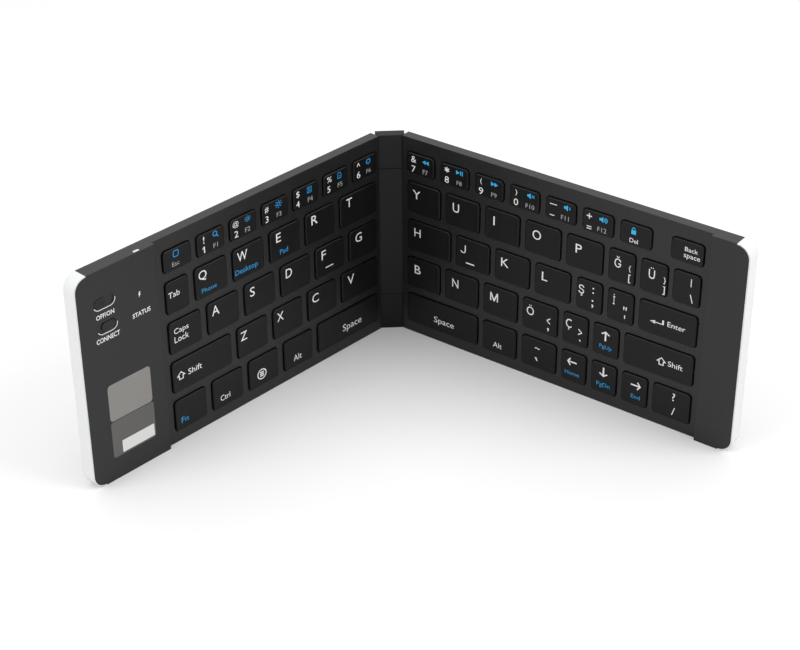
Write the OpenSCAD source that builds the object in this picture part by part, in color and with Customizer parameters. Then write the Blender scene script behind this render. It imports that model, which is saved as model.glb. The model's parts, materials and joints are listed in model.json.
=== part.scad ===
// Folding keyboard: two key halves on a narrow spine, standing open on the long near edge.
// Each half is drawn flat in its own frame: X runs outward along the half, Y runs from the
// key side to the back, Z runs from the near edge to the far edge.

/* [Halves] */
// Length of each half from its inner edge
half_l = 148; // [148:1:156]
// Width of a half, which is its height as it stands
half_w = 85.3; // [85.3:0.1:88]
// Thickness of the key area
panel_t = 4.1; // [4.1:0.1:4.6]
// Height of the thicker end section above the key area
end_rise = 1.6; // [1.4:0.1:1.6]
// Radius of the outer corners
corner_r = 5.4; // [4:0.1:7]
// Where the thicker end section of the left half begins
step_left = 112.7; // [112.7:0.1:114]
// Where the thicker end section of the right half begins
step_right = 132.85; // [132.85:0.05:134]

/* [Opening] */
// Fold of the left half away from flat, in degrees
fold_left = 43.5; // [0:0.5:90]
// Fold of the right half away from flat, in degrees
fold_right = 39.8; // [0:0.1:90]

/* [Hinge] */
// Distance of each hinge pin from the middle of the spine
pin_x = 3.05; // [3.05:0.01:3.1]
// Depth of the pin axes behind the front of the spine
pin_y = 2.92; // [2.9:0.01:2.95]
// Radius of a hinge pin
pin_r = 0.9; // [0.7:0.05:0.9]
// Distance from a pin axis to the inner edge of its half
edge_gap = 3.2; // [3.2:0.05:3.3]
// Depth of the key-side plane in front of the pin axis
edge_lead = 1.4; // [1.35:0.05:1.4]
// Length of the lower hinge segment of the spine
segment_low = 15.6; // [15:0.1:17]
// Length of the upper hinge segment of the spine
segment_high = 14.1; // [14:0.1:15]
// Half the width of the spine at its front
spine_front = 4.4; // [4.3:0.05:4.4]
// Half the width of the spine at its back
spine_back = 5.6; // [5.2:0.1:5.6]

/* [Keys] */
// Distance from one key row to the next
row_pitch = 16.5; // [16.5:0.1:16.6]
// Height of the four main rows' wells
well_h = 13.45; // [13.3:0.05:13.5]
// Height of the number row's wells
number_h = 9.15; // [9:0.05:9.2]
// Near edge of the space row's wells
first_row_z = 4.45; // [4.4:0.05:4.5]
// Letter pitch on the left half
pitch_left = 18.25; // [18.2:0.05:18.25]
// Letter pitch on the right half
pitch_right = 18; // [17.95:0.05:18]
// Pitch of the number row
number_pitch = 15.68; // [15.6:0.01:15.7]
// Width of a letter well on the left half
letter_left = 15.7; // [15.4:0.05:15.75]
// Width of a letter well on the right half
letter_right = 16; // [15.7:0.05:16]
// Width of a number well
number_w = 13.4; // [13.1:0.05:13.4]
// Pitch of the narrow keys at the right
narrow_pitch = 13.2; // [13.1:0.05:13.2]
// Width of a narrow well
narrow_w = 11.35; // [11:0.05:11.35]
// Corner radius of a well
well_r = 1.8; // [1:0.1:2]
// Gap between a keycap and its well
key_gap = 0.3; // [0.25:0.05:0.4]
// Height of the keycaps above the key-side plane
key_rise = 0.8; // [0.6:0.1:0.8]

/* [Hidden] */
// Depths behind the key-side plane
frame_t = 1.2;
roof_back = 0.2;
skirt_back = 0.7;
crown_depth = 0.3;
crown_inset = 0.35;
skirt_wall = 0.9;
dome_front = 0.35;
dome_r = [2, 1.3];
number_dome_r = [1.5, 1];
lever_w = 0.7;
lever_t = 0.4;
lever_l = 7.4;
lever_tilt = 15.5;
lever_n = 1.45;
membrane_front = 2.7;
membrane_back = 2.9;
plate_back = 3.2;
shell_front = 3.23;
wall = 0.9;
cover_wall = 1;
lip = 0.4;
play = 0.05;
face_back = 1 - end_rise;

// Spine, from its front
cover_t = 1;
core_back = 3.1;
spine_t = 4.1;
cap_t = 1.2;
web_half = 1.3;
segment_front = 4.3;
front_round = 0.6;
upper_segment_z = half_w - segment_high;
seam = 0.2;

// Hinge leaves, measured from the pin axis
knuckle_r = 1.55;
arm_front = 1.55;
arm_back = panel_t - edge_lead;
arm_tail = 0.9;
leaf_reach = 12;
leaf_play = 0.15;
screw_s = [3, 6.8];
screw_z = [2.9, 82.1];
screw_r = 0.6;
screw_head_r = 1.1;
screw_head_t = 0.5;
boss_r = 1.1;

// Wells: [start along the half, width, row], with row 1 at the far edge
left_start = 1.9;
left_stagger = 24.85;
left_wide = left_stagger - left_start - (pitch_left - letter_left);
left_end = left_start + 5 * pitch_left + letter_left;
right_start = 2.35;
narrow_start = right_start + 4 * pitch_right;
narrow_top_s = narrow_start + pitch_right;
right_end = narrow_top_s + 2 * narrow_pitch + narrow_w;
number_start_left = 1.5;
number_start_right = 2.15;
number_lift = 0.25;
backspace_s = 116.95;
home_row_s = 25.3;
narrow_home_s = 79.6;

function run(start, pitch, w, row, n) = [for (i = [0:n - 1]) [start + i * pitch, w, row]];

numbers_left = run(number_start_left, number_pitch, number_w, 1, 6);
top_letters_left = concat([[left_start, left_wide, 2]],
                          run(left_stagger, pitch_left, letter_left, 2, 4));
home_letters_left = run(left_start, pitch_left, letter_left, 3, 5);
low_letters_left = concat([[left_start, left_wide, 4]],
                          run(left_stagger, pitch_left, letter_left, 4, 3));
esc = [[number_start_left + 6 * number_pitch, number_w, 1]];
tab_s = left_stagger + 4 * pitch_left;
tab = [[tab_s, left_end - tab_s, 2]];
caps_s = left_start + 5 * pitch_left;
caps = [[caps_s, left_end - caps_s, 3]];
shift_left_s = left_stagger + 3 * pitch_left;
shift_left = [[shift_left_s, left_end - shift_left_s, 4]];
space_left = [[left_start, pitch_left + letter_left, 5]];
alt_left = [[left_start + 2 * pitch_left, letter_left, 5]];
system_left = [[left_start + 3 * pitch_left, letter_left, 5]];
ctrl_left = [[left_start + 4 * pitch_left, letter_left, 5]];
fn_left = [[caps_s, left_end - caps_s, 5]];

numbers_right = run(number_start_right, number_pitch, number_w, 1, 6);
delete_right = [[number_start_right + 6 * number_pitch, number_w, 1]];
backspace_right = [[backspace_s, number_w, 1]];
top_letters_right = concat(run(right_start, pitch_right, letter_right, 2, 5),
                           run(narrow_top_s, narrow_pitch, narrow_w, 2, 3));
home_wide = home_row_s - right_start - (pitch_right - letter_right);
home_letters_right = concat([[right_start, home_wide, 3]],
                            run(home_row_s, pitch_right, letter_right, 3, 3),
                            run(narrow_home_s, narrow_pitch, narrow_w, 3, 2));
enter_s = narrow_home_s + 2 * narrow_pitch;
enter_right = [[enter_s, right_end - enter_s, 3]];
low_letters_right = concat(run(right_start, pitch_right, letter_right, 4, 4),
                           [[narrow_start, narrow_w, 4]]);
shift_right_s = narrow_start + 2 * narrow_pitch;
shift_right = [[shift_right_s, right_end - shift_right_s, 4]];
arrows = concat([[narrow_start + narrow_pitch, narrow_w, 4]],
                run(narrow_start, narrow_pitch, narrow_w, 5, 3));
space_right = [[right_start, pitch_right + letter_right, 5]];
alt_right = [[right_start + 2 * pitch_right, letter_right, 5]];
tilde_right = [[right_start + 3 * pitch_right, letter_right, 5]];
slash_s = narrow_start + 3 * narrow_pitch;
slash_right = [[slash_s, right_end - slash_s, 5]];

wells_left = concat(numbers_left, top_letters_left, home_letters_left, low_letters_left,
                    esc, tab, caps, shift_left, space_left, alt_left, system_left,
                    ctrl_left, fn_left);
wells_right = concat(numbers_right, delete_right, backspace_right, top_letters_right,
                     home_letters_right, enter_right, low_letters_right, shift_right,
                     arrows, space_right, alt_right, tilde_right, slash_right);

// Left end section: switch, button, light, port, board and battery
dish_t = 0.5;
dish_lip = 0.25;
control_front = 0.1 - end_rise;
switch_s = 136.05;
switch_z = 72.6;
switch_l = 9.1;
switch_h = 4.6;
slider_l = 5.1;
slider_h = 3.9;
slider_travel = 3.3;
slider_s = switch_s + slider_travel / 2;
stem_s = slider_s + 1.55;
stem_l = 1.2;
stem_h = 1;
button_dish_s = 135.6;
button_dish_l = 8.4;
button_dish_h = 4.4;
button_s = 134.9;
button_z = 62.8;
button_l = 6;
button_h = 3.5;
switch_front = 0.25;
switch_bore = 1.2;
light_s = 119.93;
light_n = -0.53;
light_l = 2.6;
light_w = 1;
light_depth = 2.5;
port_s = 122;
port_w = 7.5;
port_h = 2.5;
port_depth = 5.6;
board_s = [115, 145.5];
board_z = [3, 82];
board_front = 2.3;
board_back = 3.1;
// Chips on the board: [start along the half, near edge, length, width, height]
chips = [[118, 61, 6, 6, 0.9], [126, 64, 3.5, 3.5, 0.7], [117.5, 72, 4.5, 4, 0.8],
         [126, 70, 1.6, 0.8, 0.5], [126, 72.5, 1.6, 0.8, 0.5], [126, 75, 1.6, 0.8, 0.5]];
battery_s = 116.5;
battery_z = 15;
battery_l = 28;
battery_w = 40;
battery_front = -0.4;
magnet_s = 141.5;
magnet_z = [6, 79.4];
magnet_r = 2.5;
magnet_t = 1.5;
foot_s = [13, 136];
foot_z = [8, 77.3];
foot_r = 3.5;
foot_t = 0.5;
cable_t = 0.15;
cable_z = [34, 50];
cable_n = 2.1;
cable_reach = 6;

// The drawing is moved so that the middle of its footprint is over the origin
function left_x(s, n) = -right_x(s, n, fold_left);
function right_x(s, n, fold) = pin_x + (edge_gap + s) * cos(fold) + (n - edge_lead) * sin(fold);
function world_y(s, n, fold) = pin_y - (edge_gap + s) * sin(fold) + (n - edge_lead) * cos(fold);
tail_s = -edge_gap - arm_tail;
mid_x = (left_x(half_l, panel_t) + right_x(half_l, panel_t, fold_right)) / 2;
near_y = min(world_y(half_l, -end_rise, fold_left), world_y(half_l, -end_rise, fold_right));
far_y = max(world_y(tail_s, panel_t, fold_left), world_y(tail_s, panel_t, fold_right));
mid_y = (near_y + far_y) / 2;

// Places and basic shapes

module in_spine() {
    translate([-mid_x, -mid_y, 0]) children();
}

module half(fold) {
    translate([pin_x, pin_y, 0]) rotate([0, 0, -fold])
        translate([edge_gap, -edge_lead, 0]) children();
}

module in_left() {
    in_spine() mirror([1, 0, 0]) half(fold_left) children();
}

module in_right() {
    in_spine() half(fold_right) children();
}

// A slab between two depths, from an outline drawn along the half and up its width
module sheet(front, back) {
    translate([0, back, 0]) rotate([90, 0, 0]) linear_extrude(back - front) children();
}

// A rod across the thickness of a half
module post(s, z, r, front, back) {
    translate([s, back, z]) rotate([90, 0, 0]) cylinder(r = r, h = back - front, $fn = 48);
}

module box(s, n, z) {
    translate([s[0], n[0], z[0]]) cube([s[1] - s[0], n[1] - n[0], z[1] - z[0]]);
}

module round_rect(w, h, r) {
    translate([r, 0]) square([w - 2 * r, h]);
    translate([0, r]) square([w, h - 2 * r]);
    for (x = [r, w - r], y = [r, h - r]) translate([x, y]) circle(r, $fn = 48);
}

module round_block(s, z, l, h, r) {
    translate([s - l / 2, z - h / 2]) round_rect(l, h, r);
}

// Outline of a half from a given length to its outer end, drawn inward by a margin
module end_outline(from, margin) {
    intersection() {
        union() {
            translate([0, margin]) square([half_l - corner_r, half_w - 2 * margin]);
            translate([0, corner_r]) square([half_l - margin, half_w - 2 * corner_r]);
            for (z = [corner_r, half_w - corner_r])
                translate([half_l - corner_r, z]) circle(corner_r - margin, $fn = 96);
        }
        translate([from, 0]) square([half_l, half_w]);
    }
}

// Keys

function row_z(row) = first_row_z + (5 - row) * row_pitch + (row == 1 ? number_lift : 0);
function row_h(row) = row == 1 ? number_h : well_h;

module keycap(k) {
    w = k[1] - 2 * key_gap;
    h = row_h(k[2]) - 2 * key_gap;
    r = well_r - key_gap;
    translate([k[0] + key_gap, 0, row_z(k[2]) + key_gap]) {
        sheet(crown_depth - key_rise, roof_back) round_rect(w, h, r);
        sheet(-key_rise, roof_back) translate([crown_inset, crown_inset])
            round_rect(w - 2 * crown_inset, h - 2 * crown_inset, r - 0.2);
        sheet(roof_back - play, skirt_back) difference() {
            round_rect(w, h, r);
            translate([skirt_wall, skirt_wall])
                round_rect(w - 2 * skirt_wall, h - 2 * skirt_wall, r - 0.7);
        }
    }
}

module keycaps(keys) {
    color("#17181a") for (k = keys) keycap(k);
}

module wells(keys) {
    for (k = keys) translate([k[0], row_z(k[2])]) round_rect(k[1], row_h(k[2]), well_r);
}

// Two crossed levers under each key, one ring inside the other
module scissors(keys) {
    outer_margin = 3;
    inner_margin = outer_margin + 2 * lever_w + 0.3;
    for (k = keys, side = [-1, 1]) {
        h = row_h(k[2]) - (side < 0 ? outer_margin : inner_margin);
        translate([k[0] + k[1] / 2, lever_n, row_z(k[2]) + row_h(k[2]) / 2])
            rotate([0, 0, side * lever_tilt]) sheet(-lever_t / 2, lever_t / 2) difference() {
                square([lever_l, h], center = true);
                square([lever_l - 2 * lever_w, h - 2 * lever_w], center = true);
            }
    }
}

module dome_sheet(keys, length) {
    box([1.4, length], [membrane_front, membrane_back], [4.3, 80.6]);
    for (k = keys) {
        r = k[2] == 1 ? number_dome_r : dome_r;
        translate([k[0] + k[1] / 2, membrane_front + play, row_z(k[2]) + row_h(k[2]) / 2])
            rotate([90, 0, 0])
                cylinder(r1 = r[0], r2 = r[1], h = membrane_front + play - dome_front,
                         $fn = 48);
    }
}

// Shells and frames

module back_shell() {
    difference() {
        union() {
            sheet(shell_front, panel_t) end_outline(half_l - corner_r, 0);
            sheet(shell_front, panel_t) translate([play, cover_wall + play])
                square([half_l - corner_r, half_w - 2 * cover_wall - 2 * play]);
            end_band(face_back + play, shell_front + play, wall);
            end_band(-end_rise, face_back + 2 * play, lip);
        }
        for (z = [0, upper_segment_z])
            box([-1, leaf_reach - edge_gap + 0.1], [membrane_back, panel_t + 1],
                [z == 0 ? cap_t : z + play, z == 0 ? segment_low - play : half_w - cap_t]);
    }
}

// The band of the shell that wraps round the outer end
module end_band(front, back, thickness) {
    sheet(front, back) difference() {
        end_outline(half_l - corner_r, 0);
        end_outline(half_l - corner_r - 1, thickness);
    }
}

module key_frame(keys, length) {
    difference() {
        union() {
            sheet(0, frame_t) difference() {
                square([length, half_w]);
                wells(keys);
            }
            for (z = [0, half_w - cover_wall])
                box([0, length], [frame_t - play, panel_t], [z, z + cover_wall]);
            box([0, 0.8], [frame_t - play, membrane_back - play], [0, half_w]);
            for (s = screw_s, z = screw_z) post(s, z, boss_r, frame_t - play, membrane_back);
        }
        for (s = screw_s, z = screw_z) post(s, z, screw_r, frame_t + 0.3, membrane_back + 1);
        box([-1, 2], [cable_n - 0.3, cable_n + 0.3], cable_z + [-0.5, 0.5]);
    }
}

module end_cover(step) {
    white_s = half_l - corner_r - play;
    sheet(-end_rise, face_back) {
        end_outline(white_s - play, lip + play);
        translate([step, 0]) square([white_s - step, half_w]);
    }
    for (z = [0, half_w - cover_wall])
        box([step, white_s], [face_back - play, panel_t], [z, z + cover_wall]);
    box([step, step + wall], [face_back - play, membrane_back], [0, half_w]);
    for (z = magnet_z) difference() {
        post(magnet_s, z, magnet_r + 0.6, face_back - play, face_back + magnet_t - 0.2);
        post(magnet_s, z, magnet_r + play, face_back, face_back + magnet_t);
    }
}

module support_plate(length) {
    difference() {
        box([1.2, length], [membrane_back, plate_back], [1.3, half_w - 1.3]);
        for (z = [[0, segment_low], [upper_segment_z, half_w]])
            box([-1, leaf_reach - edge_gap + 0.2], [2, 4], z);
        for (s = [30, 60, 90], z = [19.45, 69.1]) post(s, z, 0.9, 2, 4);
    }
}

// Hinges

module leaf(low, high) {
    difference() {
        translate([-edge_gap, edge_lead, low]) difference() {
            linear_extrude(high - low) {
                circle(knuckle_r, $fn = 64);
                translate([-1, 0]) square([2, arm_back]);
                translate([-arm_tail, arm_front]) square([leaf_reach + arm_tail,
                                                          arm_back - arm_front]);
            }
            translate([0, 0, -1]) cylinder(r = pin_r + play, h = high - low + 2, $fn = 64);
        }
        for (s = screw_s, z = screw_z) {
            post(s, z, screw_r + play, 2, 5);
            post(s, z, screw_head_r + play, panel_t - screw_head_t - play, 5);
        }
    }
}

module hinge_leaves() {
    leaf(cap_t + leaf_play, segment_low - leaf_play);
    leaf(upper_segment_z + leaf_play, half_w - cap_t - leaf_play);
}

module leaf_screws() {
    for (s = screw_s, z = screw_z) {
        post(s, z, screw_r - 0.02, frame_t + 0.5, panel_t - 0.2);
        difference() {
            post(s, z, screw_head_r, panel_t - screw_head_t, panel_t);
            box([s - 0.7, s + 0.7], [panel_t - 0.25, panel_t + 1], [z - 0.12, z + 0.12]);
            box([s - 0.12, s + 0.12], [panel_t - 0.25, panel_t + 1], [z - 0.7, z + 0.7]);
        }
    }
}

// Outline of the spine between two depths, seen from its end
module spine_outline(front, back) {
    slope = (spine_back - spine_front) / spine_t;
    intersection() {
        union() {
            polygon([for (p = [[-1, front], [1, front], [1, back], [-1, back]])
                [p[0] * (spine_front + slope * p[1]), p[1]]]);
        }
        union() {
            translate([-8, front_round]) square([16, 8]);
            translate([-spine_front + front_round, 0])
                square([2 * (spine_front - front_round), 8]);
            for (x = [-1, 1]) translate([x * (spine_front - front_round), front_round])
                circle(front_round, $fn = 48);
        }
    }
}

module spine_front_cover() {
    color("#2b2c2e") difference() {
        union() {
            translate([0, 0, segment_low])
                linear_extrude(upper_segment_z - segment_low) spine_outline(0, cover_t);
            linear_extrude(half_w) intersection() {
                spine_outline(0, cover_t);
                translate([-segment_front, 0]) square([2 * segment_front, cover_t]);
            }
        }
        for (z = [segment_low, upper_segment_z])
            translate([-3.2, -1, z - seam / 2]) cube([6.4, 1 + seam, seam]);
    }
}

module spine_core() {
    color("#222325") difference() {
        union() {
            translate([0, 0, segment_low]) linear_extrude(upper_segment_z - segment_low)
                spine_outline(cover_t, core_back);
            translate([-web_half, cover_t, cap_t])
                cube([2 * web_half, core_back - cover_t, half_w - 2 * cap_t]);
        }
        for (x = [-pin_x, pin_x], z = [segment_low - 3, upper_segment_z - 3])
            translate([x, pin_y, z]) cylinder(r = pin_r + 0.02, h = 6, $fn = 64);
        translate([-8, 1.7, cable_z[0] - 0.5])
            cube([16, 0.8, cable_z[1] - cable_z[0] + 1]);
    }
}

module spine_back_cover() {
    color("#2b2c2e") difference() {
        union() {
            translate([0, 0, segment_low]) linear_extrude(upper_segment_z - segment_low)
                spine_outline(core_back, spine_t);
            translate([-web_half, core_back, cap_t])
                cube([2 * web_half, spine_t - core_back, half_w - 2 * cap_t]);
        }
        for (x = [-pin_x, pin_x], z = [segment_low - 3, upper_segment_z - 3])
            translate([x, pin_y, z]) cylinder(r = pin_r + 0.02, h = 6, $fn = 64);
    }
}

module hinge_caps() {
    color("#2b2c2e") for (z = [0, half_w - cap_t]) difference() {
        translate([0, 0, z]) linear_extrude(cap_t) spine_outline(cover_t, spine_t);
        for (x = [-pin_x, pin_x]) translate([x, pin_y, z == 0 ? 0.4 : z - 1])
            cylinder(r = pin_r + 0.02, h = cap_t + 0.6, $fn = 64);
    }
}

module hinge_pins() {
    pin_low = 0.5;
    pin_l = segment_low + 2.8 - pin_low;
    color("#b9bcc0") for (x = [-pin_x, pin_x]) {
        translate([x, pin_y, pin_low]) cylinder(r = pin_r, h = pin_l, $fn = 64);
        translate([x, pin_y, upper_segment_z - 2.8])
            cylinder(r = pin_r, h = half_w - pin_low - upper_segment_z + 2.8, $fn = 64);
    }
}

// Flat cable from one half through the spine to the other
module flex_cable() {
    function across(s, fold, side) = [side * right_x(s, cable_n, fold),
                                      world_y(s, cable_n, fold)];
    front = [across(cable_reach, fold_left, -1), across(-0.2, fold_left, -1), [-5, 2],
             [5, 2], across(-0.2, fold_right, 1), across(cable_reach, fold_right, 1)];
    back = [for (i = [len(front) - 1:-1:0]) front[i] + [0, cable_t]];
    color("#b06a2c") translate([0, 0, cable_z[0]])
        linear_extrude(cable_z[1] - cable_z[0]) polygon(concat(front, back));
}

// Pieces of the left end section

// Obround outline, centred
module obround(l, h) {
    straight = (l - h) / 2;
    for (x = [-straight, straight]) translate([x, 0]) circle(h / 2, $fn = 48);
    translate([-straight, -h / 2]) square([2 * straight, h]);
}

// Shallow obround dish in the face of an end cover, with a chamfered lip
module dish(s, z, l, h) {
    over = 0.2;
    straight = (l - h) / 2;
    rim_r = h / 2 + over;
    floor_r = h / 2 - dish_lip;
    rim_n = -end_rise - over;
    lip_n = dish_lip - end_rise;
    for (x = [s - straight, s + straight]) translate([x, lip_n, z]) rotate([90, 0, 0])
        cylinder(r1 = floor_r, r2 = rim_r, h = dish_lip + over, $fn = 48);
    translate([s - straight, 0, z]) rotate([90, 0, 90]) linear_extrude(2 * straight)
        polygon([[rim_n, -rim_r], [rim_n, rim_r], [lip_n, floor_r], [lip_n, -floor_r]]);
    sheet(-end_rise, dish_t - end_rise) translate([s, z])
        obround(l - 2 * dish_lip, h - 2 * dish_lip);
}

module left_end_cover() {
    difference() {
        end_cover(step_left);
        dish(switch_s, switch_z, switch_l, switch_h);
        dish(button_dish_s, button_z, button_dish_l, button_dish_h);
        box([stem_s - stem_l / 2 - slider_travel - play, stem_s + stem_l / 2 + play],
            [-end_rise, 0], [switch_z - stem_h / 2 - play, switch_z + stem_h / 2 + play]);
        sheet(-end_rise, 0) translate([button_s, button_z])
            obround(button_l + 2 * play, button_h + 2 * play);
        translate([light_s, light_n, half_w - light_depth - play])
            linear_extrude(light_depth + 1) obround(light_l + 2 * play, light_w + 2 * play);
        box([port_s - port_w / 2 - 0.2, port_s + port_w / 2 + 0.2],
            [board_front - port_h - 0.2, board_front + 0.1], [-1, 2]);
    }
}

module status_light() {
    color("#f4f5f6") translate([light_s, light_n, half_w - light_depth])
        linear_extrude(light_depth) obround(light_l, light_w);
}

// The knob rides on the floor of its dish and is held by a plate behind the cover
module power_slider() {
    knob_back = dish_t - end_rise - play;
    plate_front = face_back + play;
    rib_s = [-1.5, -0.5, 0.5, 1.5];
    color("#1d1e20") {
        sheet(control_front, knob_back) translate([slider_s, switch_z])
            obround(slider_l, slider_h);
        for (s = rib_s) box([slider_s + s - 0.2, slider_s + s + 0.2],
                            [-end_rise, control_front + play],
                            [switch_z - 1.1, switch_z + 1.1]);
        box([stem_s - stem_l / 2, stem_s + stem_l / 2], [knob_back - play, plate_front + play],
            [switch_z - stem_h / 2, switch_z + stem_h / 2]);
        sheet(plate_front, plate_front + 0.4)
            round_block(slider_s, switch_z, 7, 4.4, 1);
        box([slider_s - 0.5, slider_s + 0.5], [plate_front + 0.3, plate_front + 1.6],
            [switch_z - 0.5, switch_z + 0.5]);
    }
}

module connect_button() {
    flange = face_back + play;
    color("#1d1e20") {
        sheet(control_front, flange + 0.2) translate([button_s, button_z])
            obround(button_l, button_h);
        sheet(flange, flange + 0.3) round_block(button_s, button_z, 8, 5.6, 1);
        post(button_s, button_z, 0.9, flange + 0.2, flange + 1.3);
    }
}

module board_switches() {
    color("#c9ccd0") {
        difference() {
            box([switch_s - 4.2, switch_s + 4.2], [switch_front, board_front],
                [switch_z - 1.8, switch_z + 1.8]);
            box([switch_s - 2.8, switch_s + 2.8], [-1, switch_front + switch_bore],
                [switch_z - 0.7, switch_z + 0.7]);
        }
        difference() {
            box([button_s - 2.3, button_s + 2.3], [switch_front, board_front],
                [button_z - 2.1, button_z + 2.1]);
            post(button_s, button_z, 1.05, -1, switch_front + switch_bore);
        }
    }
}

module main_board() {
    color("#1f5a38") {
        box(board_s, [board_front, board_back], board_z);
        for (c = chips) box([c[0], c[0] + c[2]], [board_front - c[4], board_front + play],
                            [c[1], c[1] + c[3]]);
    }
}

module battery() {
    color("#8d9196") sheet(battery_front, board_front - 0.1)
        translate([battery_s, battery_z]) round_rect(battery_l, battery_w, 2);
    color("#c9a227") box([128, 133], [0.6, 1.2],
                         [battery_z + battery_w - 0.1, battery_z + battery_w + 2.5]);
}

module charging_port() {
    back = board_front;
    front = back - port_h;
    color("#b9bcc0") difference() {
        box([port_s - port_w / 2, port_s + port_w / 2], [front, back], [0.15, port_depth]);
        box([port_s - port_w / 2 + 0.3, port_s + port_w / 2 - 0.3],
            [front + 0.3, back - 0.3], [-1, port_depth - 0.6]);
    }
    color("#1d1e20") box([port_s - 2, port_s + 2], [front + 0.9, back - 0.9],
                         [1, port_depth - 0.5]);
}

module feet() {
    color("#2a2a2b") for (s = foot_s, z = foot_z)
        post(s, z, foot_r, panel_t, panel_t + foot_t);
}

module magnets() {
    color("#c4c7cb") for (z = magnet_z)
        post(magnet_s, z, magnet_r, face_back, face_back + magnet_t);
}

// Spine
in_spine() spine_core();
in_spine() spine_front_cover();
in_spine() spine_back_cover();
in_spine() hinge_caps();
in_spine() hinge_pins();
in_spine() flex_cable();

// Left half
in_left() color("#eef0f2") back_shell();  // left_back_shell
in_left() color("#333436") key_frame(wells_left, step_left - play);  // left_key_frame
in_left() color("#333436") left_end_cover();
in_left() color("#b4b7bb") support_plate(step_left - play);  // left_support_plate
in_left() color("#d9d6c8") dome_sheet(wells_left, step_left - 1);  // left_dome_sheet
in_left() color("#e8e8e8") scissors(wells_left);  // left_scissors
in_left() color("#3a3b3d") hinge_leaves();  // left_hinge_leaves
in_left() color("#8f9296") leaf_screws();  // left_leaf_screws
in_left() main_board();
in_left() board_switches();
in_left() battery();
in_left() power_slider();
in_left() connect_button();
in_left() status_light();
in_left() charging_port();
in_left() feet();  // left_feet
in_left() magnets();  // left_magnets
in_left() keycaps(esc);  // esc_key
in_left() keycaps(tab);  // tab_key
in_left() keycaps(caps);  // caps_lock_key
in_left() keycaps(shift_left);  // left_shift_key
in_left() keycaps(fn_left);  // fn_key
in_left() keycaps(ctrl_left);  // ctrl_key
in_left() keycaps(system_left);  // system_key
in_left() keycaps(alt_left);  // left_alt_key
in_left() keycaps(space_left);  // left_space_key
in_left() keycaps(numbers_left);  // left_number_keys
in_left() keycaps(top_letters_left);  // left_top_letter_keys
in_left() keycaps(home_letters_left);  // left_home_letter_keys
in_left() keycaps(low_letters_left);  // left_low_letter_keys

// Right half
in_right() color("#eef0f2") back_shell();  // right_back_shell
in_right() color("#333436") key_frame(wells_right, step_right - play);  // right_key_frame
in_right() color("#333436") end_cover(step_right);  // right_end_cover
in_right() color("#b4b7bb") support_plate(step_right - play);  // right_support_plate
in_right() color("#d9d6c8") dome_sheet(wells_right, step_right - 1);  // right_dome_sheet
in_right() color("#e8e8e8") scissors(wells_right);  // right_scissors
in_right() color("#3a3b3d") hinge_leaves();  // right_hinge_leaves
in_right() color("#8f9296") leaf_screws();  // right_leaf_screws
in_right() feet();  // right_feet
in_right() magnets();  // right_magnets
in_right() keycaps(delete_right);  // delete_key
in_right() keycaps(backspace_right);  // backspace_key
in_right() keycaps(enter_right);  // enter_key
in_right() keycaps(shift_right);  // right_shift_key
in_right() keycaps(space_right);  // right_space_key
in_right() keycaps(alt_right);  // right_alt_key
in_right() keycaps(tilde_right);  // tilde_key
in_right() keycaps(slash_right);  // slash_key
in_right() keycaps(arrows);  // arrow_keys
in_right() keycaps(numbers_right);  // right_number_keys
in_right() keycaps(top_letters_right);  // right_top_letter_keys
in_right() keycaps(home_letters_right);  // right_home_letter_keys
in_right() keycaps(low_letters_right);  // right_low_letter_keys
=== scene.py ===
import json
import math

import bmesh
import bpy
import numpy as np
from mathutils import Matrix


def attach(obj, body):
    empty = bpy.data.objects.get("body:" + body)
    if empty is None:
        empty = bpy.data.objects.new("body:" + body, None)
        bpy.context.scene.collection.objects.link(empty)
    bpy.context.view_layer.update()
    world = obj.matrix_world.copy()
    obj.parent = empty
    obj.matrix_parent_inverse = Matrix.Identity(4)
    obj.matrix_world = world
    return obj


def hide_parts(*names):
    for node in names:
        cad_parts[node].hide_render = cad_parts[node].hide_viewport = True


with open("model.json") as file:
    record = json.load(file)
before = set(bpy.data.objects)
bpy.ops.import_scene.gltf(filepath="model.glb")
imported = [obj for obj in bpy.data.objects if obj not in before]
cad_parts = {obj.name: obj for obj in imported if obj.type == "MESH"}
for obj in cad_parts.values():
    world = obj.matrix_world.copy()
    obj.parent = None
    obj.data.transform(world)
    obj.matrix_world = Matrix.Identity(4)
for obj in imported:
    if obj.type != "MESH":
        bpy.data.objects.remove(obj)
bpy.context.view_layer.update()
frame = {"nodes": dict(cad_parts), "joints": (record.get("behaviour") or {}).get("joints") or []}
mm = 0.001
print("frame loaded:", len(frame["nodes"]), "nodes")


# Each half is laid out flat: s runs outward from its inner edge, n from the key side to the
# back, z up from the near edge, all in millimetres
panel = {"edgeGap": 3.2, "edgeLead": 1.4, "endRise": 1.6, "width": 85.3}
halves = {"left": {"joint": "left_fold", "out": -1}, "right": {"joint": "right_fold", "out": 1}}
for half in halves.values():
    hinge = next(joint for joint in frame["joints"] if joint["name"] == half["joint"])
    half["pin"] = hinge["pos_m"]
    half["fold"] = math.radians(-hinge["range_deg"][0])


def place(side, s, n, z):
    # A flat place turned about its hinge pin by the fold angle, the left half mirrored
    half = halves[side]
    away, back = s + panel["edgeGap"], n - panel["edgeLead"]
    along, across = math.cos(half["fold"]), math.sin(half["fold"])
    x = half["pin"][0] + half["out"] * mm * (away * along + back * across)
    y = half["pin"][1] + mm * (back * along - away * across)
    return np.stack(np.broadcast_arrays(x, y, z * mm), axis=-1)


# Materials

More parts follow.
